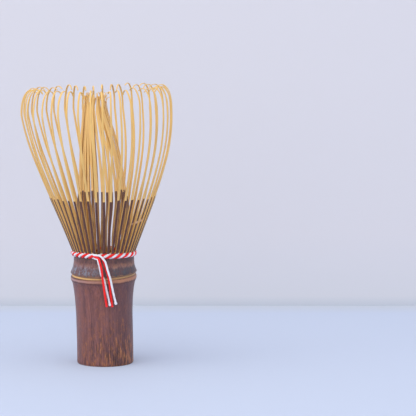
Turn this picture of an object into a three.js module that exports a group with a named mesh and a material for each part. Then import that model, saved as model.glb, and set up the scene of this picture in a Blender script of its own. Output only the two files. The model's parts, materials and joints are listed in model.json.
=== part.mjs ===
// A bamboo tea whisk (chasen), standing on its foot at z = 0. Millimetres, +Z up, front towards -Y.
// One culm is carved into a hollow handle, a ring of spread outer tines and a core of inner tines.
// A red and a white thread are twined round the tine roots and tied at the front.
// The brush leans towards -X, so the handle's axis stands at x = AXIS_X and the whole box is centred.
import * as THREE from "three";

// ---- driving dimensions ----
const AXIS_X = 2.5;
const CROWN_Z = 44.4; // the handle ends here, and the wall goes on as tines
const ROOT_Z = 44.7; // tine roots, a small gap above the crown
const TIP_Z = 113; // top of the brush

// handle
const FOOT_R = 11.55;
const BORE_R = 8.3; // hollow below the node
const CUP_R = 8.6; // hollow above the node
const DIAPHRAGM_LOW_Z = 33;
const DIAPHRAGM_TOP_Z = 36.4;
const FOOT_CHAMFER = 0.3;
const HANDLE_SEGMENTS = 48;
const HANDLE_STEPS = 34;

// tines
const OUTER_TINES = 44;
const INNER_LEAVES = 8; // each holds a group of inner tines
const LEAF_GAP = 0.5; // between neighbouring leaves
const LEAF_THICKNESS = 0.8;
const LEAF_STEPS = 3; // facets across a leaf
const TINE_STATIONS = 13;
const TIP_CROWDING = 1.6; // above 1, the stations crowd towards the curled tip
const FIRST_TINE = 2; // bearing of the first tine's root from the front, in degrees
const OUTER_LEAN = 2.7; // how far the top of the ring has leant over
const INNER_LEAN = 3.4;
const LEAN_POWER = 2.2; // above 1, the lean grows towards the top
const TOP_TILT = 0.023; // slope of the top ring, in radians
const TOP_TWIST = 4.2; // how far the ring has turned at the top, in degrees
const WANDER = 2; // how far a tine strays from its place, in degrees
const WANDER_CHANNEL = 14886; // picks the set of irregularities that the wander follows
const SPREAD_JITTER = 0.5;
const HEIGHT_JITTER = 0.6;
const TIP_SKEW = 0.5;

// threads
const RING_R = 13.15;
const RING_Z = 45.45;
const RING_HALF_THICK = 0.45;
const RING_HALF_HIGH = 1;
const RING_SLANT = 30; // the band lies against the flaring tines, in degrees
const RING_SIDES = 10;
const THREAD_R = 0.44;
const THREAD_SIDES = 8;
const THREAD_STEPS = 14;

const colours = {
  culm: new THREE.MeshStandardMaterial({ color: 0x6b4a42, roughness: 0.5 }),
  tine: new THREE.MeshStandardMaterial({ color: 0xd9ab5a, roughness: 0.45 }),
  core: new THREE.MeshStandardMaterial({ color: 0xc8984c, roughness: 0.5 }),
  red: new THREE.MeshStandardMaterial({ color: 0xe02a33, roughness: 0.7 }),
  white: new THREE.MeshStandardMaterial({ color: 0xeceaf4, roughness: 0.7 }),
};

const radians = THREE.MathUtils.degToRad;
const whisk = new THREE.Group();
whisk.position.x = AXIS_X;

function add(name, geometry, material) {
  const mesh = new THREE.Mesh(geometry, material);
  mesh.name = name;
  whisk.add(mesh);
  return mesh;
}

// A steady irregularity from -1 to 1: one value for each tine and each channel.
function irregular(index, channel) {
  const wave = Math.sin(index * 12.9898 + channel * 78.233) * 43758.5453;
  return 2 * (wave - Math.floor(wave)) - 1;
}

function twoDigits(number) {
  return String(number).padStart(2, "0");
}

// ---- handle: a hollow tube with one node, closed inside by the node's diaphragm ----
function makeHandle() {
  const outside = new THREE.SplineCurve(
    [
      [FOOT_R, FOOT_CHAMFER],
      [FOOT_R, 10],
      [FOOT_R, 19],
      [11.9, 26.9],
      [12.25, 30.3],
      [12.75, 33.4],
      [13.4, 35.1],
      [12.95, 36.5],
      [13.45, 37.8],
      [12.9, 39.4],
      [12.45, 41.2],
      [12.3, 42.8],
      [12.2, CROWN_Z],
    ].map(([radius, z]) => new THREE.Vector2(radius, z)),
  );
  const profile = [
    new THREE.Vector2(0, DIAPHRAGM_LOW_Z),
    new THREE.Vector2(BORE_R, DIAPHRAGM_LOW_Z),
    new THREE.Vector2(BORE_R, 0),
    new THREE.Vector2(FOOT_R - FOOT_CHAMFER, 0),
    ...outside.getSpacedPoints(HANDLE_STEPS),
    new THREE.Vector2(CUP_R, CROWN_Z),
    new THREE.Vector2(CUP_R, DIAPHRAGM_TOP_Z),
    new THREE.Vector2(0, DIAPHRAGM_TOP_Z),
  ];
  // a lathe turns its profile about Y, so the result is stood up along Z
  const geometry = new THREE.LatheGeometry(profile, HANDLE_SEGMENTS);
  geometry.rotateX(Math.PI / 2);
  add("handle", geometry, colours.culm);
}

// ---- tines: a side view in (radius, z) given a width, then carried round the axis ----

// The outline of a blade that follows the spine, with its thickness at each share of the length.
function sideOutline(spine, thicknessAt) {
  const left = [];
  const right = [];
  for (let i = 0; i <= TINE_STATIONS; i++) {
    const share = 1 - (1 - i / TINE_STATIONS) ** TIP_CROWDING;
    const centre = spine.getPointAt(share);
    const along = spine.getTangentAt(share);
    const half = thicknessAt(share) / 2;
    left.push(new THREE.Vector2(centre.x - along.y * half, centre.y + along.x * half));
    right.push(new THREE.Vector2(centre.x + along.y * half, centre.y - along.x * half));
  }
  return new THREE.Shape([...left, ...right.reverse()]);
}

function makeBlade(spinePoints, thicknessAt, steps, azimuthAt, angularWidthAt, lean) {
  const spine = new THREE.CatmullRomCurve3(
    spinePoints.map(([radius, z]) => new THREE.Vector3(radius, z, 0)),
    false,
    "centripetal",
  );
  const geometry = new THREE.ExtrudeGeometry(sideOutline(spine, thicknessAt), {
    depth: 1,
    steps,
    bevelEnabled: false,
  });
  const position = geometry.attributes.position;
  for (let i = 0; i < position.count; i++) {
    const radius = position.getX(i);
    const z = position.getY(i);
    const across = 0.5 - position.getZ(i);
    const azimuth = azimuthAt(z) + across * angularWidthAt(radius, z);
    const x = radius * Math.cos(azimuth);
    const y = radius * Math.sin(azimuth);
    const share = heightShare(z);
    position.setXYZ(i, x - lean * share ** LEAN_POWER, y, z + TOP_TILT * share * x);
  }
  geometry.computeVertexNormals();
  return geometry;
}

// 0 at the tine roots and 1 near the top of the brush
function heightShare(z) {
  return THREE.MathUtils.clamp((z - ROOT_Z) / (TIP_Z - 10 - ROOT_Z), 0, 1);
}

function makeOuterTine(index) {
  const spread = SPREAD_JITTER * irregular(index, 1);
  const rise = HEIGHT_JITTER * irregular(index, 2);
  const droop = 0.7 + 0.5 * irregular(index, 5);
  const spine = [
    [11.2, ROOT_Z],
    [12.55, 46.9],
    [16.7, 57],
    [20.9, 67.7],
    [24.75 + spread * 0.6, 78],
    [28.2 + spread * 0.8, 88.5],
    [30.3 + spread, 98 + rise * 0.5],
    [30.75 + spread, 104.5 + rise],
    [29.6 + spread, 110.2 + rise],
    [27.4 + spread, TIP_Z - 0.2 + rise],
    [25.3 + spread, TIP_Z - 0.1 - 0.4 * droop + rise],
    [24 + spread, TIP_Z - 0.4 - 1.6 * droop + rise],
  ];
  const thicknessAt = (share) => THREE.MathUtils.lerp(0.85, 0.36, share);
  const place = FIRST_TINE - 90 + (index * 360) / OUTER_TINES;
  const stray = WANDER * irregular(index, WANDER_CHANNEL) + TOP_TWIST;
  const azimuthAt = (z) => {
    const skew = (TIP_SKEW * irregular(index, 4) * Math.max(0, z - 108)) / 5;
    return radians(place + stray * heightShare(z)) + skew / 27;
  };
  const widthAt = (z) => THREE.MathUtils.lerp(1.1, 0.7, heightShare(z));
  const angularWidthAt = (radius, z) => widthAt(z) / radius;
  const geometry = makeBlade(spine, thicknessAt, 1, azimuthAt, angularWidthAt, OUTER_LEAN);
  add("outer_tine_" + twoDigits(index + 1), geometry, colours.tine);
}

function makeInnerLeaf(index) {
  const spine = [
    [9.8, ROOT_Z],
    [10.2, 51],
    [10, 60],
    [9.3, 70],
    [8.3, 80],
    [7.2, 90],
    [5.6, 100],
    [4.5, 107],
    [4.2, TIP_Z - 2.4],
  ];
  const thicknessAt = () => LEAF_THICKNESS;
  const place = radians(FIRST_TINE - 90 + ((index + 0.5) * 360) / INNER_LEAVES);
  const angularWidthAt = (radius) => (2 * Math.PI) / INNER_LEAVES - LEAF_GAP / radius;
  const azimuthAt = () => place;
  const geometry = makeBlade(
    spine,
    thicknessAt,
    LEAF_STEPS,
    azimuthAt,
    angularWidthAt,
    INNER_LEAN,
  );
  add("inner_tines_" + (index + 1), geometry, colours.core);
}

// ---- threads ----

// The twined band round the tine roots, as the envelope of its two strands.
function makeRing() {
  const slant = radians(RING_SLANT);
  const section = [];
  for (let i = 0; i <= RING_SIDES; i++) {
    const turn = (2 * Math.PI * i) / RING_SIDES;
    const out = RING_HALF_THICK * Math.cos(turn);
    const up = RING_HALF_HIGH * Math.sin(turn);
    section.push(
      new THREE.Vector2(
        RING_R + out * Math.cos(slant) + up * Math.sin(slant),
        RING_Z - out * Math.sin(slant) + up * Math.cos(slant),
      ),
    );
  }
  section[RING_SIDES].copy(section[0]);
  const geometry = new THREE.LatheGeometry(section, HANDLE_SEGMENTS);
  geometry.rotateX(Math.PI / 2);
  add("thread_ring", geometry, colours.red);
}

function makeKnot() {
  const geometry = new THREE.SphereGeometry(1, 12, 8);
  geometry.scale(1.7, 0.7, 1.1);
  add("thread_knot", geometry, colours.white).position.set(-0.8, -14.85, 45.4);
}

// A thread end: it leaves the knot, passes over the node and hangs down the front of the handle.
function makeThreadEnd(name, route, material) {
  const path = new THREE.CatmullRomCurve3(route.map((point) => new THREE.Vector3(...point)));
  const section = new THREE.Shape().absarc(0, 0, THREAD_R, 0, 2 * Math.PI);
  const geometry = new THREE.ExtrudeGeometry(section, {
    curveSegments: THREAD_SIDES / 2,
    steps: THREAD_STEPS,
    extrudePath: path,
    bevelEnabled: false,
  });
  add(name, geometry, material);
}

makeHandle();
for (let index = 0; index < OUTER_TINES; index++) makeOuterTine(index);
for (let index = 0; index < INNER_LEAVES; index++) makeInnerLeaf(index);
makeRing();
makeKnot();
makeThreadEnd(
  "thread_end_white_left",
  [
    [-1.54, -14.6, 43.4],
    [-1.1, -14.4, 41.5],
    [-0.73, -14.2, 39.5],
    [-0.38, -14.1, 37.9],
    [0.5, -14.1, 36.6],
    [1, -14.1, 34.8],
    [1.36, -14, 33.2],
    [2.03, -13.7, 30],
    [2.93, -13.4, 25.3],
  ],
  colours.white,
);
makeThreadEnd(
  "thread_end_red_left",
  [
    [-0.92, -15.5, 43.5],
    [-0.45, -15.5, 41.5],
    [-0.1, -15.4, 39.5],
    [0.15, -15.3, 36.7],
    [0.6, -15.1, 33.4],
    [1, -14.6, 30],
    [1.7, -13.8, 25],
  ],
  colours.red,
);
makeThreadEnd(
  "thread_end_red_right",
  [
    [0.55, -14.6, 43.4],
    [1.2, -14.3, 41.4],
    [1.82, -14.15, 39.4],
    [2.57, -14.05, 36.6],
    [3, -13.9, 33.3],
    [3.3, -13.6, 30],
    [3.9, -13.2, 24.9],
  ],
  colours.red,
);
makeThreadEnd(
  "thread_end_white_right",
  [
    [0.6, -15.8, 44.4],
    [1.3, -15.7, 43.6],
    [2.4, -15.4, 39.6],
    [3.25, -15.1, 36.7],
    [3.9, -14.7, 33.4],
    [4.55, -14.2, 30.1],
    [5.4, -13.5, 26],
  ],
  colours.white,
);

export default whisk;
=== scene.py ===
"""Looks of the bamboo tea whisk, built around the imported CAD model.

The culm's handle, the outer tines, the core of inner tines and the red and white threads are each
modelled finely in mesh code and stand for their plain CAD nodes. Lengths are in millimetres in the
tables and functions below, and are turned into metres where a mesh is made. The camera, the stage and
the lights are in metres.
"""

import json
import math

import bmesh
import bpy
import numpy as np
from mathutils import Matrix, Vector

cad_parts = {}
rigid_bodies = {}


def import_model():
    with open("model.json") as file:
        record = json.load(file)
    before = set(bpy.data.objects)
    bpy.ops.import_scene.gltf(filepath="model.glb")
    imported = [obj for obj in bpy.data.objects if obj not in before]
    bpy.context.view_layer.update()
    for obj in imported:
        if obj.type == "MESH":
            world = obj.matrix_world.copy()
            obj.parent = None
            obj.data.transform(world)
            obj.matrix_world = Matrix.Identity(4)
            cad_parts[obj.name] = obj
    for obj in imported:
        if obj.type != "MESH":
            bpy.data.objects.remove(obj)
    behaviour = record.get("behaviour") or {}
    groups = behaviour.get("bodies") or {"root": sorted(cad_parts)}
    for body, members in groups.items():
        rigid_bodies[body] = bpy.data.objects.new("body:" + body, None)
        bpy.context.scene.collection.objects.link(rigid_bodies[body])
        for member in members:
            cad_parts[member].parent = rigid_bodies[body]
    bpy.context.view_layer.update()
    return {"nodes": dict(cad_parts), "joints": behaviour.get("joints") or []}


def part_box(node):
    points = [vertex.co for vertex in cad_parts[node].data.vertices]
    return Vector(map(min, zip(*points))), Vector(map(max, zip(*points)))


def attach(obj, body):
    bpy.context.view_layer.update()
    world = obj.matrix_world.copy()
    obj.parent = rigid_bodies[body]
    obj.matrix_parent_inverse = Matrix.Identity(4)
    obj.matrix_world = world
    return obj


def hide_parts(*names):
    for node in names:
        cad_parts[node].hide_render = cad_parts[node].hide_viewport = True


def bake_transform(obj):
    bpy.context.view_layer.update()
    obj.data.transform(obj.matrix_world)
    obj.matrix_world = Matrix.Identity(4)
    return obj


MM = 0.001
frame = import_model()

# ---- what the frame says ----
handle_low, handle_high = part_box("handle")
AXIS = np.array([(handle_low.x + handle_high.x) / 2, (handle_low.y + handle_high.y) / 2, 0]) / MM
CROWN_Z = handle_high.z / MM
OUTER_NODES = sorted(n for n in frame["nodes"] if n.startswith("outer_tine_"))
CORE_NODES = sorted(n for n in frame["nodes"] if n.startswith("inner_tines_"))
CULM = next(joint["parent"] for joint in frame["joints"])
HINGES = {joint["child"]: joint for joint in frame["joints"]}

# ---- driving dimensions, as in the CAD model ----
ROOT_Z = CROWN_Z + 0.3
TIP_Z = 113.0
FOOT_R = 11.55
BORE_R = 8.3
CUP_R = 8.6
DIAPHRAGM_LOW_Z = 33.0
DIAPHRAGM_TOP_Z = 36.4
FIRST_TINE = 2.0
OUTER_LEAN = 2.7
INNER_LEAN = 3.4
LEAN_POWER = 2.2
TOP_TILT = 0.023
TOP_TWIST = 4.2
WANDER = 2.0
WANDER_CHANNEL = 14886
SPREAD_JITTER = 0.5
HEIGHT_JITTER = 0.6
TIP_SKEW = 0.5
RING_Z = 45.45

# ---- driving dimensions of the visual model alone ----
TIP_CROWDING = 1.35  # above 1, a tine's sections stand closer together towards its tip
OUTER_PEEL_Z = 68.7  # the skin has been scraped off above this height
INNER_PEEL_Z = 71.2
THREAD_R = {"red": 0.44, "white": 0.41}


# ---- helpers: numbers ----
def irregular(index, channel):
    """A steady irregularity from -1 to 1, the same as the CAD model's."""
    wave = math.sin(index * 12.9898 + channel * 78.233) * 43758.5453
    return 2 * (wave - math.floor(wave)) - 1


def height_share(z):
    """0 at the tine roots and 1 near the top of the brush."""
    return np.clip((z - ROOT_Z) / (TIP_Z - 10 - ROOT_Z), 0, 1)


def smooth_step(low, high, value):
    share = np.clip((value - low) / (high - low), 0, 1)
    return share * share * (3 - 2 * share)


CURVE_STEPS = 40  # points between two points of a curve


def curve_through(points):
    """A centripetal Catmull-Rom curve through the points, as close points, with its running length."""
    p = np.array(points, float)
    p = np.vstack([2 * p[0] - p[1], p, 2 * p[-1] - p[-2]])
    knots = np.concatenate([[0], np.cumsum(np.linalg.norm(np.diff(p, axis=0), axis=1) ** 0.5)])
    dense = []
    for i in range(1, len(p) - 2):
        last = i == len(p) - 3
        t = np.linspace(knots[i], knots[i + 1], CURVE_STEPS, endpoint=last)[:, None]
        k0, k1, k2, k3 = knots[i - 1 : i + 3]
        a1 = (p[i - 1] * (k1 - t) + p[i] * (t - k0)) / (k1 - k0)
        a2 = (p[i] * (k2 - t) + p[i + 1] * (t - k1)) / (k2 - k1)
        a3 = (p[i + 1] * (k3 - t) + p[i + 2] * (t - k2)) / (k3 - k2)
        b1 = (a1 * (k2 - t) + a2 * (t - k0)) / (k2 - k0)
        b2 = (a2 * (k3 - t) + a3 * (t - k1)) / (k3 - k1)
        dense.append((b1 * (k2 - t) + b2 * (t - k1)) / (k2 - k1))
    dense = np.vstack(dense)
    return dense, running_length(dense)


def running_length(path):
    return np.concatenate([[0], np.cumsum(np.linalg.norm(np.diff(path, axis=0), axis=1))])


def points_at(dense, length, stations):
    return np.column_stack([np.interp(stations, length, dense[:, k]) for k in range(dense.shape[1])])


# ---- helpers: meshes ----
def mesh_of_rings(name, rings, slot_of_row=None, **attributes):
    """A closed mesh through rings of points (rows, points round, 3), in millimetres.
    slot_of_row(row, side) picks a face's material slot. Each attribute is an array with one number or
    vector for each point."""
    rows, sides, _ = rings.shape
    faces = []
    slots = []
    for i in range(rows - 1):
        for j in range(sides):
            k = (j + 1) % sides
            faces.append((i * sides + j, i * sides + k, (i + 1) * sides + k, (i + 1) * sides + j))
            slots.append(slot_of_row(i, j) if slot_of_row else 0)
    faces.append(tuple(range(sides - 1, -1, -1)))
    faces.append(tuple((rows - 1) * sides + j for j in range(sides)))
    slots += [slots[0], slots[-1]]
    mesh = bpy.data.meshes.new(name)
    mesh.from_pydata((rings.reshape(-1, 3) * MM).tolist(), [], faces)
    mesh.polygons.foreach_set("material_index", slots)
    mesh.polygons.foreach_set("use_smooth", [True] * len(faces))
    for key, values in attributes.items():
        values = np.asarray(values, np.float32)
        if values.shape == rings.shape:
            mesh.attributes.new(key, "FLOAT_VECTOR", "POINT").data.foreach_set("vector", values.ravel())
        else:
            spread = np.broadcast_to(values, rings.shape[:2]).astype(np.float32)
            mesh.attributes.new(key, "FLOAT", "POINT").data.foreach_set("value", spread.ravel())
    work = bmesh.new()
    work.from_mesh(mesh)
    bmesh.ops.recalc_face_normals(work, faces=work.faces)
    work.to_mesh(mesh)
    work.free()
    return mesh


THREAD_SIDES = 15
PLIES = 3
PLY_PITCH = 2.4
PLY_DEPTH = 0.12  # as a share of the thread's radius
PLY_MEAN = 0.6  # keeps the lobes about the thread's own radius
TUBE_UP = (0.3, 0.1, 1.0)  # no thread starts in this direction


def thread_tube(name, path, radius_at):
    """A thread along a path of points. Its section has lobes that twist along it, as plies do."""
    length = running_length(path)
    tangent = np.gradient(path, length, axis=0)
    tangent /= np.linalg.norm(tangent, axis=1)[:, None]
    normal = np.cross(tangent[0], TUBE_UP)
    rings = np.zeros((len(path), THREAD_SIDES, 3))
    around = 2 * math.pi * np.arange(THREAD_SIDES) / THREAD_SIDES
    for i, along in enumerate(length):
        normal = normal - tangent[i] * np.dot(normal, tangent[i])
        normal /= np.linalg.norm(normal)
        side = np.cross(tangent[i], normal)
        ply = np.abs(np.sin(0.5 * PLIES * around + math.pi * along / PLY_PITCH))
        radius = radius_at(along, length[-1]) * (1 + PLY_DEPTH * (ply - PLY_MEAN))
        rings[i] = path[i]
        rings[i] += np.outer(radius * np.cos(around), normal)
        rings[i] += np.outer(radius * np.sin(around), side)
    return mesh_of_rings(name, rings, grain=rings)


def add_piece(name, mesh, materials):
    if not mesh.materials:
        for material in materials:
            mesh.materials.append(material)
    piece = bpy.data.objects.new(name, mesh)
    bpy.context.scene.collection.objects.link(piece)
    return piece


def joined(name, meshes, materials):
    """One mesh of several, with their point attributes and their material slots."""
    objects = []
    for mesh in meshes:
        for material in materials:
            mesh.materials.append(material)
        part = bpy.data.objects.new(name + "_part", mesh)
        bpy.context.scene.collection.objects.link(part)
        objects.append(part)
    with bpy.context.temp_override(
        active_object=objects[0], selected_editable_objects=objects, selected_objects=objects
    ):
        bpy.ops.object.join()
    mesh = objects[0].data
    bpy.data.objects.remove(objects[0])
    mesh.name = name
    return mesh


THREAD_SHARP = 60  # degrees
HANDLE_SHARP = 40
TINE_SHARP = 50


def sharpen(mesh, angle):
    """Marks the edges sharper than angle, in degrees, so that the rest shades smooth."""
    mesh.set_sharp_from_angle(angle=math.radians(angle))


# ---- camera ----
LENS = 181
SENSOR = 36
CAMERA_X = AXIS[0] * MM + 0.0426  # the whisk stands left of the middle of the view
CAMERA_Y = -0.850
CAMERA_Z = 0.15258
AIM_Z = 0.06378


def make_camera():
    data = bpy.data.cameras.new("camera")
    data.lens = LENS
    data.sensor_width = SENSOR
    data.clip_start = 0.05
    data.clip_end = 10
    camera = bpy.data.objects.new("camera", data)
    camera.location = (CAMERA_X, CAMERA_Y, CAMERA_Z)
    aim = Vector((CAMERA_X, 0, AIM_Z))
    camera.rotation_mode = "QUATERNION"
    camera.rotation_quaternion = (aim - camera.location).to_track_quat("-Z", "Y")
    bpy.context.scene.collection.objects.link(camera)
    bpy.context.scene.camera = camera


make_camera()


# ---- materials ----
class Nodes:
    """A small helper that adds shader nodes to a new Principled material. Inputs without a name of their
    own are given by number, as i0, i1 and i2."""

    def __init__(self, name):
        self.material = bpy.data.materials.new(name)
        self.material.use_nodes = True
        self.tree = self.material.node_tree
        self.shader = next(n for n in self.tree.nodes if n.type == "BSDF_PRINCIPLED")

    def add(self, kind, **inputs):
        node = self.tree.nodes.new(kind)
        for key, value in inputs.items():
            self.put(node, key, value)
        return node

    def put(self, node, key, value):
        socket = node.inputs[int(key[1:])] if key[0] == "i" and key[1:].isdigit() else node.inputs[key]
        if isinstance(value, bpy.types.NodeSocket):
            self.tree.links.new(value, socket)
        else:
            socket.default_value = value

    def grain(self, scale):
        """The piece's own grain coordinates, scaled along each axis."""
        source = self.add("ShaderNodeAttribute")
        source.attribute_name = "grain"
        scaled = self.add("ShaderNodeVectorMath", i0=source.outputs["Vector"], i1=scale)
        scaled.operation = "MULTIPLY"
        return scaled.outputs["Vector"]

    def tone(self):
        source = self.add("ShaderNodeAttribute")
        source.attribute_name = "tone"
        return source.outputs["Fac"]

    def noise(self, vector, detail=4.0, roughness=0.55):
        node = self.add("ShaderNodeTexNoise", Vector=vector, Scale=1.0, Detail=detail)
        node.inputs["Roughness"].default_value = roughness
        return node.outputs["Fac"]

    def ramp(self, factor, *stops):
        """Colours (or greys) at places from 0 to 1 along factor."""
        node = self.add("ShaderNodeValToRGB", Fac=factor)
        elements = node.color_ramp.elements
        while len(elements) < len(stops):
            elements.new(1)
        for element, (place, colour) in zip(elements, stops):
            element.position = place
            element.color = (*colour, 1) if hasattr(colour, "__len__") else (colour,) * 3 + (1,)
        return node.outputs["Color"]

    def mix(self, factor, low, high):
        """A colour from low to high. The numbers are the colour sockets of Blender's Mix node."""
        node = self.tree.nodes.new("ShaderNodeMix")
        node.data_type = "RGBA"
        for socket, value in ((node.inputs[0], factor), (node.inputs[6], low), (node.inputs[7], high)):
            if isinstance(value, bpy.types.NodeSocket):
                self.tree.links.new(value, socket)
            else:
                socket.default_value = (*value, 1) if hasattr(value, "__len__") else value
        return node.outputs[2]

    def math(self, operation, first, second=0.0):
        node = self.add("ShaderNodeMath", i0=first, i1=second)
        node.operation = operation
        return node.outputs[0]

    def finish(self, colour, roughness, height=None, depth=0.1, **sockets):
        """depth is the bump's height in millimetres."""
        self.put(self.shader, "Base Color", colour)
        self.put(self.shader, "Roughness", roughness)
        for key, value in sockets.items():
            self.put(self.shader, key.replace("_", " "), value)
        if height is not None:
            bump = self.add("ShaderNodeBump", Height=height, Distance=depth * MM)
            self.put(self.shader, "Normal", bump.outputs["Normal"])
        return self.material


SCAR_PLACE = (14.3, -10.4, 59.3)  # a pale graze across a few tines at the right, from the handle's axis
SCAR_TILT = 0.3
SCAR_REACH = (3.1, 9.0, 0.55)
SCAR_COLOUR = (0.70, 0.42, 0.25)


def scarred(n, colour):
    """The colour, with the pale graze over it."""
    source = n.add("ShaderNodeAttribute")
    source.attribute_name = "place"
    away = n.add("ShaderNodeVectorMath", i0=source.outputs["Vector"], i1=SCAR_PLACE)
    away.operation = "SUBTRACT"
    split = n.add("ShaderNodeSeparateXYZ", Vector=away.outputs["Vector"])
    slant = n.math("MULTIPLY", split.outputs["X"], SCAR_TILT)
    rise = n.math("SUBTRACT", split.outputs["Z"], slant)
    level = n.add("ShaderNodeCombineXYZ", X=split.outputs["X"], Y=split.outputs["Y"], Z=rise)
    scaled = n.add("ShaderNodeVectorMath", i0=level.outputs["Vector"], i1=SCAR_REACH)
    scaled.operation = "DIVIDE"
    distance = n.add("ShaderNodeVectorMath", i0=scaled.outputs["Vector"])
    distance.operation = "LENGTH"
    return n.mix(n.ramp(distance.outputs["Value"], (0.75, 0.85), (1.0, 0.0)), colour, SCAR_COLOUR)


ALONG_REACH = 0.02  # scales millimetres along a tine to a colour ramp's range


def share_along(n):
    """How far along its tine a point is, for a colour ramp."""
    scaled = n.grain((ALONG_REACH, ALONG_REACH, ALONG_REACH))
    return n.add("ShaderNodeSeparateXYZ", Vector=scaled).outputs["Z"]


def bamboo_flesh(name, pale, deep, dark):
    """Split and scraped bamboo: straw gold with long fibres, browner towards the root."""
    n = Nodes(name)
    fibres = n.noise(n.grain((5.0, 5.0, 0.12)), detail=5)
    patches = n.noise(n.grain((0.5, 0.5, 0.06)), detail=2)
    base = n.ramp(fibres, (0.3, deep), (0.62, pale))
    stained = n.mix(n.ramp(patches, (0.55, 0.0), (0.8, 0.55)), base, dark)
    toned = n.mix(n.math("MULTIPLY", n.tone(), 0.3), stained, deep)
    # Darker towards the root of each tine.
    root_darkening = n.ramp(share_along(n), (0.0, 0.34), (0.3, 0.14), (0.6, 0.14), (0.95, 0.0))
    smoked = n.mix(root_darkening, toned, dark)
    roughness = n.ramp(fibres, (0.2, 0.42), (0.8, 0.56))
    return n.finish(scarred(n, smoked), roughness, fibres, 0.04, Coat_Weight=0.06)


def bamboo_skin(name, dark, warm, worn, worn_low, worn_high):
    """The smoked skin left on the lower part of each tine. It is worn to golden brown in spots, and more
    so below worn_low, in millimetres along the tine, than above worn_high."""
    n = Nodes(name)
    fibres = n.noise(n.grain((4.0, 4.0, 0.1)), detail=5)
    spots = n.noise(n.grain((1.2, 1.2, 0.25)), detail=4)
    lower = n.ramp(share_along(n), (ALONG_REACH * worn_low, 1.0), (ALONG_REACH * worn_high, 0.0))
    base = n.ramp(fibres, (0.35, dark), (0.75, warm))
    rubbed = n.math("MULTIPLY", n.ramp(spots, (0.36, 0.25), (0.60, 0.9)), lower)
    browned = n.mix(rubbed, base, worn)
    spotted = n.mix(n.ramp(spots, (0.62, 0.0), (0.85, 0.4)), browned, worn)
    return n.finish(scarred(n, spotted), 0.5, fibres, 0.03, Specular_IOR_Level=0.35)


FLESH = bamboo_flesh(
    "tine_flesh",
    pale=(0.87, 0.575, 0.20),
    deep=(0.74, 0.43, 0.115),
    dark=(0.50, 0.29, 0.13),
)
CORE_FLESH = bamboo_flesh(
    "core_flesh",
    pale=(0.87, 0.57, 0.205),
    deep=(0.72, 0.41, 0.12),
    dark=(0.50, 0.29, 0.125),
)
TINE_SKIN = bamboo_skin(
    "tine_skin",
    dark=(0.080, 0.030, 0.027),
    warm=(0.145, 0.062, 0.048),
    worn=(0.30, 0.17, 0.09),
    worn_low=0,
    worn_high=1,
)
CORE_SKIN = bamboo_skin(
    "core_skin",
    dark=(0.100, 0.044, 0.034),
    warm=(0.17, 0.083, 0.052),
    worn=(0.42, 0.25, 0.11),
    worn_low=19,
    worn_high=25,
)


# ---- threads ----
# A red and a white thread, each folded in half, are twined round the tine roots as four strands. The
# last turn of each strand runs on into the tie at the front and hangs down as a free end.
TWIST_R = 12.1
TWIST_DEEP = 1.05
TWIST_HIGH = 0.7
STRAND_R = 0.47
TWIST_TURNS = 11
TWIST_LEAD = 2.6  # degrees
TWIST_STEP = 0.75  # degrees
CORD_LENGTH_ROUND = 32.7  # degrees of the twist that belong to each free end
CORD_STEPS = 150
LOOSENING = 3.0  # length over which a strand becomes the free end's size
FLARE = 0.05  # how much a cut red end opens
FLARE_LENGTH = 0.8
BEAD_SIDES = 16

# name: (colour, quarter turn in the twist, bearing where the twist starts, bearing where it turns
# into the tie, points of the tie and the hanging end, from the handle's axis)
STRANDS = {
    "white_right": (
        "white",
        -90,
        -2.6,
        -20.5,
        [
            (-3.4, -12.9, 46.05),
            (-2.2, -13.65, 46.0),
            (-1.15, -14.35, 45.85),
            (-0.35, -15.0, 45.5),
            (0.2, -15.45, 45.05),
            (0.65, -15.7, 44.5),
            (1.28, -15.65, 43.6),
            (1.75, -15.55, 42),
            (2.4, -15.4, 39.6),
            (3.25, -15.1, 36.7),
            (3.9, -14.7, 33.4),
            (4.55, -14.2, 30.1),
            (5.35, -13.6, 26.45),
        ],
    ),
    "red_left": (
        "red",
        180,
        -5,
        -16.5,
        [
            (-2.75, -13.4, 45.2),
            (-1.9, -14.2, 45.0),
            (-1.25, -15.0, 44.5),
            (-0.98, -15.45, 43.6),
            (-0.45, -15.5, 41.5),
            (-0.1, -15.4, 39.5),
            (0.15, -15.3, 36.7),
            (0.6, -15.1, 33.4),
            (1, -14.6, 30),
            (1.72, -13.8, 25.1),
        ],
    ),
    "white_left": (
        "white",
        90,
        -7,
        -16.5,
        [
            (-2.9, -12.8, 44.6),
            (-2.2, -13.8, 44.5),
            (-1.72, -14.45, 44.1),
            (-1.56, -14.6, 43.3),
            (-1.12, -14.45, 41.5),
            (-0.75, -14.3, 39.5),
            (-0.38, -14.15, 37.9),
            (0.5, -14.15, 36.6),
            (1.02, -14.1, 34.8),
            (1.38, -14, 33.2),
            (2.05, -13.7, 30),
            (2.9, -13.35, 25.9),
        ],
    ),
    "red_right": (
        "red",
        0,
        -1,
        -4,
        [
            (-0.55, -13.6, 45.12),
            (-0.05, -14.2, 44.8),
            (0.3, -14.55, 44.2),
            (0.58, -14.6, 43.3),
            (1.2, -14.35, 41.4),
            (1.82, -14.2, 39.4),
            (2.55, -14.1, 36.6),
            (2.98, -13.9, 33.3),
            (3.33, -13.6, 30),
            (3.92, -13.2, 24.95),
        ],
    ),
}


def twist_path(quarter, first, last):
    """The middle of one strand of the twist, from one bearing to another, in degrees from the front."""
    bearing = np.linspace(first, last, int((last - first) / TWIST_STEP) + 1)
    azimuth = np.radians(bearing - 90)
    phase = np.radians(TWIST_TURNS * (bearing + TWIST_LEAD) + quarter)
    radius = TWIST_R + TWIST_DEEP * np.cos(phase)
    height = RING_Z + TWIST_HIGH * np.sin(phase)
    return np.column_stack([radius * np.cos(azimuth), radius * np.sin(azimuth), height])


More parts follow.
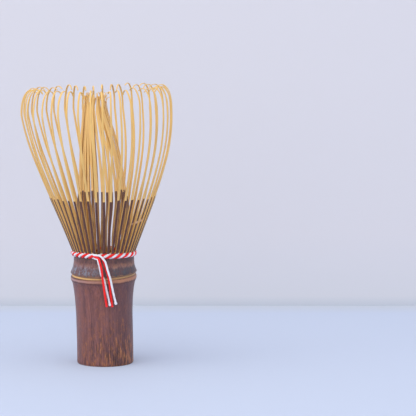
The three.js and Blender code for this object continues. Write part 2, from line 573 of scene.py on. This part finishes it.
def thread_material(name, pale, deep):
    """Soft twisted thread with fine fibres across it."""
    n = Nodes(name)
    fuzz = n.noise(n.grain((9.0, 9.0, 9.0)), detail=6, roughness=0.7)
    patches = n.noise(n.grain((0.7, 0.7, 0.7)), detail=2)
    colour = n.ramp(n.math("MULTIPLY", n.math("ADD", fuzz, patches), 0.5), (0.36, deep), (0.56, pale))
    return n.finish(colour, 0.75, fuzz, 0.05, Sheen_Weight=0.1, Specular_IOR_Level=0.25)


THREAD_MATERIALS = {
    "red": thread_material("red_thread_fibre", (0.94, 0.024, 0.024), (0.78, 0.010, 0.012)),
    "white": thread_material("white_thread_fibre", (0.86, 0.86, 0.90), (0.70, 0.70, 0.78)),
}


def end_bead(name, point, direction):
    """The small hard knot at the end of a white thread. Its profile lists a radius and a place along it."""
    profile = [
        (0.05, 0.6),
        (0.32, 0.57),
        (0.5, 0.38),
        (0.58, 0.08),
        (0.55, -0.25),
        (0.47, -0.5),
        (0.38, -0.7),
    ]
    down = Vector(direction).normalized()
    side = down.orthogonal().normalized()
    other = down.cross(side)
    around = 2 * math.pi * np.arange(BEAD_SIDES) / BEAD_SIDES
    rings = []
    for k, (radius, along) in enumerate(profile):
        lump = radius * (1 + 0.07 * np.sin(3 * around + k) + 0.05 * np.sin(5 * around - 2 * k))
        rings.append(
            np.array(point)
            + np.outer(lump * np.cos(around), side)
            + np.outer(lump * np.sin(around), other)
            + np.array(down) * along
        )
    rings = np.array(rings)
    return mesh_of_rings(name, rings + AXIS, grain=rings)


def make_free_end(name, colour, quarter, leaves_at, route):
    worked_in = twist_path(quarter, leaves_at - CORD_LENGTH_ROUND, leaves_at)
    hanging, _ = curve_through([worked_in[-1], *route])
    rough = np.vstack([worked_in, hanging[1:]])
    rough_length = running_length(rough)
    path = points_at(rough, rough_length, np.linspace(0, rough_length[-1], CORD_STEPS))
    hang_from = rough_length[-1] - running_length(hanging)[-1]

    def radius_at(along, whole):
        loose = float(smooth_step(hang_from, hang_from + LOOSENING, along))
        cut = float(smooth_step(whole - FLARE_LENGTH, whole, along)) if colour == "red" else 0
        return STRAND_R + (THREAD_R[colour] - STRAND_R) * loose + FLARE * cut

    materials = [THREAD_MATERIALS[colour]]
    mesh = thread_tube(name + "_mesh", path + AXIS, radius_at)
    sharpen(mesh, THREAD_SHARP)
    piece = add_piece("thread_" + name, mesh, materials)
    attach(piece, CULM)
    if colour == "white":
        bead_mesh = end_bead(name + "_bead_mesh", path[-1], path[-1] - path[-4])
        bead = add_piece("thread_" + name + "_bead", bead_mesh, materials)
        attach(bead, CULM)
    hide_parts("thread_end_" + name)


def make_twist(colour, *nodes):
    """The part of one colour's two strands that goes round the tine roots."""
    meshes = []
    for name, (own_colour, quarter, starts_at, leaves_at, _) in STRANDS.items():
        if own_colour == colour:
            path = twist_path(quarter, starts_at, leaves_at - CORD_LENGTH_ROUND + 360)
            meshes.append(thread_tube(name + "_round", path + AXIS, lambda along, whole: STRAND_R))
    materials = [THREAD_MATERIALS[colour]]
    mesh = joined("thread_twist_" + colour, meshes, materials)
    sharpen(mesh, THREAD_SHARP)
    piece = add_piece("thread_twist_" + colour, mesh, materials)
    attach(piece, CULM)
    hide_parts(*nodes)


def make_threads():
    for name, (colour, quarter, _, leaves_at, route) in STRANDS.items():
        make_free_end(name, colour, quarter, leaves_at, route)
    make_twist("red", "thread_ring")
    make_twist("white", "thread_knot")


make_threads()


# ---- handle ----
WALL_STEPS = 288  # points round the culm
NODE_Z = 36.95
WALL_LINE = [
    (12.2, CROWN_Z),
    (12.32, 43.3),
    (12.36, 42.2),
    (12.42, NODE_Z + 4.55),
    (12.62, NODE_Z + 3.35),
    (12.95, NODE_Z + 2.25),
    (13.32, NODE_Z + 1.35),
    (13.5, NODE_Z + 0.85),
    (13.38, NODE_Z + 0.55),
    (13.04, NODE_Z + 0.3),
    (12.9, NODE_Z),
    (12.98, NODE_Z - 0.3),
    (13.28, NODE_Z - 0.6),
    (13.46, NODE_Z - 1.2),
    (13.42, NODE_Z - 1.9),
    (13.2, NODE_Z - 2.6),
    (12.86, NODE_Z - 3.3),
    (12.54, NODE_Z - 4.8),
    (12.26, NODE_Z - 6.6),
    (11.92, NODE_Z - 9.9),
    (11.7, 23.6),
    (11.58, 20),
    (FOOT_R, 12),
    (FOOT_R, 2),
    (FOOT_R, 0.34),
    (FOOT_R - 0.08, 0.1),
    (FOOT_R - 0.32, 0.0),
]
CUP_LINE = [
    (0.6, DIAPHRAGM_TOP_Z - 0.45),
    (2.5, DIAPHRAGM_TOP_Z - 0.4),
    (5.5, DIAPHRAGM_TOP_Z - 0.25),
    (CUP_R - 0.9, DIAPHRAGM_TOP_Z + 0.15),
    (CUP_R - 0.1, DIAPHRAGM_TOP_Z + 1.0),
    (CUP_R, 41),
    (CUP_R, CROWN_Z - 0.25),
    (CUP_R + 0.25, CROWN_Z + 0.02),
    (10.4, CROWN_Z + 0.02),
    (12.0, CROWN_Z + 0.02),
]
BORE_LINE = [
    (FOOT_R - 0.7, 0.0),
    (FOOT_R - 1.6, 0.0),
    (BORE_R + 0.6, 0.0),
    (BORE_R + 0.15, 0.0),
    (BORE_R, 0.2),
    (BORE_R, 8),
    (BORE_R, 20),
    (BORE_R, DIAPHRAGM_LOW_Z - 1.6),
    (BORE_R - 0.5, DIAPHRAGM_LOW_Z - 0.5),
    (6.4, DIAPHRAGM_LOW_Z - 0.05),
    (3.0, DIAPHRAGM_LOW_Z + 0.25),
    (0.6, DIAPHRAGM_LOW_Z + 0.35),
]
NODE_REACH = 3.5  # how far over and under the node the rows are close together
NODE_ROWS = 0.2  # distance between rows near the node
WALL_ROWS = 0.8  # and elsewhere
NODE_TILT = 0.3  # how much higher the node stands at the right than at its middle
NODE_DIP = 0.8  # how much lower it stands at the front
FOOT_BOW = 0.32  # how far the handle bows to the right at its foot
NODE_BOW = -0.2  # and at its node
NODE_LUMPS = 0.10  # how far the node is out of round, in broad lumps
NODE_GRIT = 0.045  # and in small ones
BODY_LUMPS = 0.05  # and how far the rest of the handle is
WAVE_FALL = 0.75  # strength of each finer wave, as a share of the one before it


def waves(azimuth, channel, orders):
    """A periodic wobble round the culm, about -1 to 1."""
    total = 0
    weight = 0
    for k, order in enumerate(orders):
        share = WAVE_FALL**k
        total = total + share * np.sin(order * azimuth + math.pi * irregular(k + 1, channel))
        weight += share
    return total / weight


def bow(height):
    """How far the slightly crooked handle stands off its axis, in x."""
    below = FOOT_BOW + (NODE_BOW - FOOT_BOW) * smooth_step(2, 34, height)
    return below - NODE_BOW * smooth_step(37, 44, height)


def handle_skin():
    """Rows of points on the outside of the culm, close together at the node. With them come the height
    over the node, how far left a point is and how strongly the skin is streaked there."""
    dense, length = curve_through(WALL_LINE)
    spacing = np.where(np.abs(dense[1:, 1] - NODE_Z) < NODE_REACH, NODE_ROWS, WALL_ROWS)
    needed = np.concatenate([[0], np.cumsum(np.diff(length) / spacing)])
    rows = np.interp(np.linspace(0, needed[-1], int(needed[-1])), needed, length)
    skin = points_at(dense, length, rows)
    azimuth = np.linspace(0, 2 * math.pi, WALL_STEPS, endpoint=False)
    radius, height = (np.repeat(skin[:, [k]], WALL_STEPS, axis=1) for k in (0, 1))
    by_node = np.exp(-(((height - NODE_Z) / 4) ** 2))
    on_body = smooth_step(0.5, 8, height) * smooth_step(CROWN_Z, CROWN_Z - 2, height)
    radius = radius + by_node * (NODE_LUMPS * waves(azimuth, 31, (2, 3, 5, 8, 13)))
    radius = radius + by_node * (NODE_GRIT * waves(azimuth, 32, (7, 11, 17, 29)))
    radius = radius + on_body * BODY_LUMPS * waves(azimuth + 0.01 * height, 34, (3, 4, 7, 12))
    tilt = NODE_TILT * np.cos(azimuth) + NODE_DIP * np.sin(azimuth)
    tilt = tilt + 0.12 * waves(azimuth, 33, (2, 3, 4))
    node_height = height - NODE_Z
    height = height + tilt * np.exp(-((node_height / 4.2) ** 2))
    rings = np.stack([radius * np.cos(azimuth), radius * np.sin(azimuth), height], axis=-1)
    # left is 1 at the left and 0 at the right; the painted shade on the right and the painted highlights on
    # the left follow it.
    left = np.broadcast_to(0.5 - 0.5 * np.cos(azimuth + 0.35), height.shape)
    streaks = smooth_step(24, 1, height) * (1 - 0.7 * left)
    return rings, np.stack([node_height, left, streaks], axis=-1)


def plain_rows(line):
    """Round rows of points through a line of radii and heights."""
    azimuth = np.linspace(0, 2 * math.pi, WALL_STEPS, endpoint=False)
    rows = []
    for radius, height in line:
        level = np.full(WALL_STEPS, height)
        rows.append(np.column_stack([radius * np.cos(azimuth), radius * np.sin(azimuth), level]))
    return np.array(rows)


# The bands of colour round the node: their middle's height over the node, half width and soft edge in
# millimetres, colour, strength at the left and at the right, and how much they are broken up. Some of
# them are painted light: shade under the gold line and under the bead, a highlight on the bead, sheen
# on the upper ridge, and a gold line made brighter at the left.
NODE_BANDS = [
    (6.0, 3.0, 1.2, (0.040, 0.022, 0.022), 0.28, 0.28, 1.0),
    (6.6, 0.9, 0.7, (0.048, 0.032, 0.033), 0.42, 0.46, 0.5),
    (4.5, 0.5, 0.8, (0.360, 0.165, 0.092), 0.35, 0.68, 0.8),
    (2.1, 1.2, 0.8, (0.034, 0.028, 0.036), 0.70, 1.0, 0.6),
    # Pale bluish-grey bloom on the upper ridge: partly wax bloom, partly painted sheen, strong at the lit
    # left and faint at the right.
    (3.2, 0.9, 1.1, (0.270, 0.275, 0.345), 0.80, 0.15, 1.0),
    (0.72, 0.08, 0.35, (0.340, 0.175, 0.075), 0.50, 0.75, 0.4),
    # Painted shade: a thin dark line in the crease under the gold line.
    (-0.62, 0.05, 0.3, (0.040, 0.018, 0.016), 0.80, 0.85, 0.0),
    # Painted highlight: a pink band on the bead's upper flank, at the lit left.
    (-1.4, 0.2, 0.4, (0.470, 0.290, 0.285), 0.85, 0.05, 0.1),
    (-1.3, 0.5, 0.5, (0.440, 0.195, 0.110), 0.05, 0.95, 0.2),
    # Painted shade under the bead.
    (-2.4, 0.2, 0.4, (0.080, 0.028, 0.026), 0.60, 0.45, 0.1),
    # The gold line of bare flesh in the node's groove, made brighter at the left with painted light.
    (0.0, 0.24, 0.2, (0.900, 0.540, 0.190), 1.0, 0.45, 0.05),
]
BAND_REACH = 0.1  # scales millimetres to a colour ramp's range
RAGGED_EDGE = 9.0  # how far the edges of a broken band stray, in millimetres for each unit of noise


def skin_material():
    """Smoked bamboo: dark purple-brown with fine fibres and bands, rusty flecks and charred lines low
    down, and the bands of the node. The right side is darkened with painted shade, and some of the node's
    bands are painted shade, a painted highlight, painted sheen and painted light."""
    n = Nodes("smoked_bamboo_skin")
    source = n.add("ShaderNodeAttribute")
    source.attribute_name = "paint"
    paint = n.add("ShaderNodeSeparateXYZ", Vector=source.outputs["Vector"]).outputs
    node_height, left, streaks = paint["X"], paint["Y"], paint["Z"]
    fibres = n.noise(n.grain((3.2, 3.2, 0.10)), detail=6, roughness=0.6)
    ribs = n.noise(n.grain((0.75, 0.75, 0.03)), detail=4, roughness=0.6)
    mottle = n.noise(n.grain((0.55, 0.55, 0.22)), detail=5, roughness=0.6)
    speck = n.noise(n.grain((2.1, 2.1, 1.0)), detail=5, roughness=0.65)
    flame = n.noise(n.grain((1.5, 1.5, 0.36)), detail=6, roughness=0.62)
    char = n.noise(n.grain((2.4, 2.4, 0.16)), detail=4, roughness=0.6)
    base = n.ramp(fibres, (0.32, (0.112, 0.040, 0.042)), (0.66, (0.272, 0.111, 0.104)))
    warm = n.mix(n.ramp(mottle, (0.40, 0.0), (0.70, 0.7)), base, (0.270, 0.096, 0.066))
    ribbed = n.mix(n.ramp(ribs, (0.50, 0.0), (0.64, 0.55)), warm, (0.070, 0.033, 0.040))
    dusky = n.mix(n.ramp(speck, (0.52, 0.0), (0.76, 0.7)), ribbed, (0.060, 0.028, 0.030))
    # Painted shade: the skin turns darker and bluer towards the right, away from the light.
    with_painted_shade_right = n.mix(n.ramp(left, (0.08, 0.42), (0.36, 0.0)), dusky, (0.065, 0.038, 0.050))
    level = n.math("ADD", flame, n.math("MULTIPLY", streaks, 0.17))
    rusty = n.mix(n.ramp(level, (0.58, 0.0), (0.67, 0.85)), with_painted_shade_right, (0.310, 0.108, 0.050))
    glowing = n.mix(n.ramp(level, (0.69, 0.0), (0.77, 0.8)), rusty, (0.470, 0.205, 0.075))
    charring = n.math("MULTIPLY", n.ramp(char, (0.48, 0.0), (0.57, 1.0)), streaks)
    colour = n.mix(charring, glowing, (0.040, 0.016, 0.018))
    patchy = n.math("MULTIPLY", n.math("ADD", speck, mottle), 0.5)
    # Each band is laid over the colour in turn; some of them are painted shade, highlight, sheen and light.
    for middle, half, soft, paint_colour, at_left, at_right, broken in NODE_BANDS:
        stray = n.math("MULTIPLY", n.math("SUBTRACT", patchy, 0.5), RAGGED_EDGE * broken)
        away = n.math("ABSOLUTE", n.math("SUBTRACT", n.math("ADD", node_height, stray), middle))
        near = n.ramp(
            n.math("MULTIPLY", away, BAND_REACH),
            (BAND_REACH * half, 1.0),
            (BAND_REACH * (half + soft), 0.0),
        )
        strength = n.ramp(left, (0.15, at_right), (0.85, at_left))
        whole = n.ramp(patchy, (0.45, 1.0 - broken), (0.55, 1.0))
        cover = n.math("MULTIPLY", n.math("MULTIPLY", near, strength), whole)
        colour = n.mix(cover, colour, paint_colour)
    roughness = n.ramp(mottle, (0.3, 0.34), (0.75, 0.50))
    height = n.math("ADD", fibres, speck)
    return n.finish(colour, roughness, height, 0.07, Specular_IOR_Level=0.4)


def cut_material():
    """The cut and bored bamboo: pale, with the ends of its fibre bundles as small dark dots."""
    n = Nodes("cut_bamboo")
    cells = n.add("ShaderNodeTexVoronoi", Vector=n.grain((1.9, 1.9, 0.05)), Scale=1.0)
    bundles = n.ramp(cells.outputs["Distance"], (0.16, (0.30, 0.16, 0.07)), (0.34, (0.66, 0.46, 0.25)))
    stain = n.noise(n.grain((0.3, 0.3, 0.15)), detail=4)
    colour = n.mix(n.ramp(stain, (0.45, 0.0), (0.8, 0.6)), bundles, (0.36, 0.20, 0.10))
    return n.finish(colour, 0.75, cells.outputs["Distance"], 0.08)


def make_handle():
    skin, paint = handle_skin()
    cup = plain_rows(CUP_LINE)
    bore = plain_rows(BORE_LINE)
    rings = np.concatenate([cup, skin, bore])
    crooked = rings + AXIS
    crooked[..., 0] += bow(rings[..., 2])
    first = len(cup)
    last = first + len(skin) - 1
    mesh = mesh_of_rings(
        "handle_mesh",
        crooked,
        lambda row, side: 0 if first <= row < last else 1,
        grain=rings,
        paint=np.concatenate([np.zeros_like(cup), paint, np.zeros_like(bore)]),
    )
    sharpen(mesh, HANDLE_SHARP)
    piece = add_piece("bamboo_handle", mesh, [skin_material(), cut_material()])
    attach(piece, CULM)
    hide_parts("handle")


make_handle()


# ---- tines ----
# The section of a tine: shares of its half width and half thickness, from the left of the skin side.
TINE_SECTION = [
    (-1.0, 0.70),
    (-0.80, 0.94),
    (-0.30, 1.06),
    (0.30, 1.06),
    (0.80, 0.94),
    (1.0, 0.70),
    (1.0, -0.72),
    (0.82, -0.97),
    (0.0, -1.0),
    (-0.82, -0.97),
    (-1.0, -0.72),
]
SKIN_SIDES = 5  # the first faces of the section carry the skin
PEEL_DEPTH = 0.12
PEEL_STEP = 0.18  # the length over which the scraping reaches its depth
PEEL_MIDDLE = 0.1  # the middle of that step, nearly
PEEL_CLEAR = 0.35  # no other section stands this close to it
GRAIN_SHIFT = (7.3, 3.1)  # moves the grain across and through a tine, so that no two have the same
BEND_LENGTH = 24  # a height above each hinge at which a point is looked up and then not used
OUTER_SECTIONS = 84
INNER_SECTIONS = 64


def bamboo_tine(name, spine, azimuth_at, width_at, thickness_at, lean, peel_z, twist, tone, count):
    """A tine swept along its spine in (radius, z), with the skin scraped off above peel_z, in about count
    sections. The functions give its bearing at a height and a length, and its width and thickness at a
    share of the length."""
    dense, length = curve_through(spine)
    whole = length[-1]
    rising = (dense[:, 1] < np.max(dense[:, 1]) - 5) & (length < 0.8 * whole)
    peel_at = float(np.interp(peel_z, dense[rising, 1], length[rising]))
    stations = whole * (1 - (1 - np.linspace(0, 1, count)) ** TIP_CROWDING)
    stations = stations[np.abs(stations - peel_at - PEEL_MIDDLE) > PEEL_CLEAR]
    stations = np.sort(np.concatenate([stations, [peel_at, peel_at + PEEL_STEP]]))
    path = points_at(dense, length, stations)
    tangent = np.gradient(path, stations, axis=0)
    tangent /= np.linalg.norm(tangent, axis=1)[:, None]
    out = np.column_stack([tangent[:, 1], -tangent[:, 0]])
    azimuth = azimuth_at(path[:, 1], stations)
    share = stations / whole
    half_width = width_at(share) / 2
    half_thick = thickness_at(share) / 2
    scraped = stations > peel_at + PEEL_STEP / 2
    peel = np.where(scraped, PEEL_DEPTH, 0) * (1 - 0.6 * smooth_step(0.6, 0.9, share))
    turn = twist * share
    shift_side = GRAIN_SHIFT[0] * tone
    shift_up = GRAIN_SHIFT[1] * tone
    rings = np.zeros((len(stations), len(TINE_SECTION), 3))
    grain = np.zeros_like(rings)
    for j, (across, depth) in enumerate(TINE_SECTION):
        flat_side = across * half_width
        flat_up = depth * half_thick - (peel if depth > 0 else 0)
        side = flat_side * np.cos(turn) - flat_up * np.sin(turn)
        up = flat_side * np.sin(turn) + flat_up * np.cos(turn)
        radius = path[:, 0] + out[:, 0] * up
        height = path[:, 1] + out[:, 1] * up
        x = radius * np.cos(azimuth) - side * np.sin(azimuth)
        y = radius * np.sin(azimuth) + side * np.cos(azimuth)
        rise = height_share(height)
        rings[:, j] = np.column_stack([x - lean * rise**LEAN_POWER, y, height + TOP_TILT * rise * x])
        grain[:, j] = np.column_stack([flat_side + shift_side, flat_up + shift_up, stations])
    rings += AXIS
    bare_from = int(np.argmax(scraped))
    return mesh_of_rings(
        name,
        rings,
        lambda row, side: 1 if side < SKIN_SIDES and row < bare_from - 1 else 0,
        grain=grain,
        place=rings - AXIS,
        tone=0.5 + 0.5 * tone,
    )


def outer_tine(index):
    spread = SPREAD_JITTER * irregular(index, 1)
    rise = HEIGHT_JITTER * irregular(index, 2)
    droop = 0.7 + 0.5 * irregular(index, 5)
    spine = [
        (11.72, ROOT_Z - 1.3),
        (11.74, ROOT_Z),
        (12.08, RING_Z),
        (12.7, 46.9),
        (16.75, 57),
        (21.05, 67.7),
        (25.0 + spread * 0.6, 78),
        (28.4 + spread * 0.8, 88.5),
        (30.3 + spread, 98 + rise * 0.5),
        (30.75 + spread, 104.5 + rise),
        (29.6 + spread, 110.2 + rise),
        (27.4 + spread, TIP_Z - 0.2 + rise),
        (25.3 + spread, TIP_Z - 0.1 - 0.4 * droop + rise),
        (24 + spread, TIP_Z - 0.4 - 1.6 * droop + rise),
    ]
    place = FIRST_TINE - 90 + index * 360 / len(OUTER_NODES)
    stray = WANDER * irregular(index, WANDER_CHANNEL) + TOP_TWIST
    skew = TIP_SKEW * irregular(index, 4)
    sway = 0.18 * irregular(index, 6)

    def azimuth_at(z, along):
        tip = skew * np.maximum(0, z - 108) / 5 + sway * np.sin(along * 0.11)
        return np.radians(place + stray * height_share(z)) + tip / 27

    def width_at(share):
        return np.interp(share, [0, 0.35, 0.6, 0.8, 0.93, 1], [1.0, 0.96, 0.84, 0.77, 0.70, 0.48])

    def thickness_at(share):
        return np.interp(share, [0, 0.15, 0.36, 0.6, 0.9, 1], [0.90, 0.76, 0.70, 0.55, 0.40, 0.3])

    peel_z = OUTER_PEEL_Z + 0.35 * irregular(index, 7)
    return bamboo_tine(
        OUTER_NODES[index] + "_mesh",
        spine,
        azimuth_at,
        width_at,
        thickness_at,
        OUTER_LEAN,
        peel_z,
        math.radians(9 * irregular(index, 8)),
        irregular(index, 9),
        OUTER_SECTIONS,
    )


def hinge_point(body, height=0.0):
    """The point on a body's hinge, or the point that high above it, in metres."""
    position = Vector(HINGES[body]["pos_m"])
    position.z += height * MM
    return position


def make_outer_tines():
    for index, node in enumerate(OUTER_NODES):
        mesh = outer_tine(index)
        sharpen(mesh, TINE_SHARP)
        piece = add_piece("bamboo_" + node, mesh, [FLESH, TINE_SKIN])
        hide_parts(node)
        hinge_point(node)
        hinge_point(node, BEND_LENGTH)
        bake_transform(piece)


CORE_PARTING = 15.5  # the core parts in front and behind: its tines gather at the sides, in degrees
PARTING_SHIFT = 0.45  # moves the parting to the left of the middle
PARTING_CLOSES = 0.4  # the share of it that closes again towards the tips


def inner_tine(index, total):
    """An inner tine, which the thread presses inwards and which leans in to the core."""
    depth = 0.5 + 0.5 * irregular(index, 21)
    rise = 1.2 * irregular(index, 22)
    hook = irregular(index, 23)
    spine = [
        (11.5, ROOT_Z - 1.3),
        (11.3, ROOT_Z - 0.2),
        (10.4, RING_Z),
        (10.35, 47.5),
        (10.55, 53),
        (10.6, 59),
        (10.3, 65 + depth),
        (9.75 - 0.3 * depth, 70),
        (8.95 - 0.7 * depth, 80),
        (7.9 - 1.1 * depth, 90),
        (6.0 - 1.3 * depth, 100),
        (5.0 - 1.6 * depth, 105.5),
        (4.8 - 1.8 * depth + 0.5 * hook, 108.2 + rise),
        (4.8 - 1.8 * depth + 1.4 * hook, 109.8 + rise),
        (5.0 - 1.8 * depth + 2.2 * hook, 109.9 + rise),
    ]
    bearing = FIRST_TINE + (index + 0.5) * 360 / total
    place = bearing - 90
    turned = math.radians(bearing)
    parting = CORE_PARTING * (math.sin(2 * turned) + PARTING_SHIFT * math.cos(turned))
    stray = 3 * irregular(index, 24)
    drift = 0.5 * irregular(index, 25)
    flick = 1.6 * irregular(index, 29)

    def azimuth_at(z, along):
        share = smooth_step(56, 108, z)
        swing = drift * np.sin(along * 0.085 + index) * share + flick * smooth_step(104, 110, z)
        parted = parting * smooth_step(50, 76, z) * (1 - PARTING_CLOSES * smooth_step(82, 104, z))
        return np.radians(place + parted + stray * share) + swing / 8

    def width_at(share):
        return np.interp(share, [0, 0.4, 0.85, 1], [0.66, 0.98, 0.9, 0.48])

    def thickness_at(share):
        return np.interp(share, [0, 0.4, 0.7, 1], [0.7, 0.6, 0.42, 0.26])

    return bamboo_tine(
        "inner_tine_%02d" % index,
        spine,
        azimuth_at,
        width_at,
        thickness_at,
        INNER_LEAN,
        INNER_PEEL_Z + 0.6 * irregular(index, 26),
        math.radians(14 * irregular(index, 27)),
        irregular(index, 28),
        INNER_SECTIONS,
    )


def make_core():
    total = len(OUTER_NODES)
    for group, node in enumerate(CORE_NODES):
        first = math.ceil(group * total / len(CORE_NODES) - 0.5)
        last = math.ceil((group + 1) * total / len(CORE_NODES) - 0.5)
        tines = [inner_tine(index, total) for index in range(first, last)]
        mesh = joined(node + "_mesh", tines, [CORE_FLESH, CORE_SKIN])
        sharpen(mesh, TINE_SHARP)
        piece = add_piece("bamboo_" + node, mesh, [CORE_FLESH, CORE_SKIN])
        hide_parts(node)
        hinge_point(node)
        hinge_point(node, BEND_LENGTH)
        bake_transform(piece)


make_outer_tines()
make_core()


# ---- stage ----
STAGE_REACH = 1.6
WALL_Y = 0.155
SEAM_SLOPE = 0.15  # how fast the floor rises towards the wall in the camera's view
SEAM_SPAN = (-0.005, 0.035)  # the stretch over which the floor's colour turns into the wall's


def stage_material():
    """A pale blue floor and a lilac-grey wall, with painted shade along the seam between them, where both
    turn a little dimmer. Both are clear from their backs, so that they don't hide the whisk in views from
    behind or below."""
    n = Nodes("stage")
    position = n.add("ShaderNodeNewGeometry").outputs["Position"]
    place = n.add("ShaderNodeSeparateXYZ", Vector=position).outputs
    behind = n.math("MULTIPLY", n.math("SUBTRACT", place["Y"], WALL_Y), SEAM_SLOPE)
    seam = n.add("ShaderNodeMapRange", Value=n.math("ADD", place["Z"], behind))
    seam.inputs["From Min"].default_value = SEAM_SPAN[0]
    seam.inputs["From Max"].default_value = SEAM_SPAN[1]
    # The second and third stops are painted shade along the seam, dimmer than the floor and the wall.
    colour = n.ramp(
        seam.outputs["Result"],
        (0.03, (0.515, 0.58, 0.725)),
        (0.13, (0.53, 0.565, 0.64)),
        (0.24, (0.63, 0.635, 0.69)),
        (1.0, (0.665, 0.65, 0.695)),
    )
    material = n.finish(colour, 0.8)
    from_back = n.add("ShaderNodeNewGeometry").outputs["Backfacing"]
    clear = n.add("ShaderNodeBsdfTransparent").outputs["BSDF"]
    one_sided = n.add("ShaderNodeMixShader", i0=from_back, i1=n.shader.outputs["BSDF"], i2=clear)
    surface = next(node for node in n.tree.nodes if node.type == "OUTPUT_MATERIAL").inputs["Surface"]
    n.tree.links.new(one_sided.outputs["Shader"], surface)
    return material


def make_stage():
    profile = [(-STAGE_REACH, 0.0), (WALL_Y, 0.0), (WALL_Y, STAGE_REACH)]
    vertices = [(x, y, z) for x in (-STAGE_REACH, STAGE_REACH) for y, z in profile]
    mesh = bpy.data.meshes.new("stage")
    mesh.from_pydata(vertices, [], [(0, 3, 4, 1), (1, 4, 5, 2)])
    mesh.materials.append(stage_material())
    stage = bpy.data.objects.new("stage", mesh)
    bpy.context.scene.collection.objects.link(stage)


def add_area_light(name, location, aim, size, power, colour):
    data = bpy.data.lights.new(name, "AREA")
    data.shape = "SQUARE"
    data.size = size
    data.energy = power
    data.color = colour
    light = bpy.data.objects.new(name, data)
    light.location = location
    light.rotation_mode = "QUATERNION"
    light.rotation_quaternion = (Vector(aim) - Vector(location)).to_track_quat("-Z", "Y")
    bpy.context.scene.collection.objects.link(light)


def make_lights():
    world = bpy.data.worlds.new("world")
    world.use_nodes = True
    background = next(n for n in world.node_tree.nodes if n.type == "BACKGROUND")
    background.inputs["Color"].default_value = (0.94, 0.96, 1.0, 1)
    background.inputs["Strength"].default_value = 0.92
    bpy.context.scene.world = world
    aim = (0, 0, 0.06)
    add_area_light("key", (-0.75, -0.85, 0.95), aim, 2.0, 11.0, (1.0, 0.97, 0.94))
    add_area_light("top", (-0.1, -0.1, 1.3), aim, 1.6, 5.0, (1.0, 0.99, 0.98))
    add_area_light("fill", (0.9, -0.7, 0.5), aim, 0.9, 1.2, (0.9, 0.94, 1.0))
    bpy.context.scene.view_settings.view_transform = "Standard"


make_stage()
make_lights()
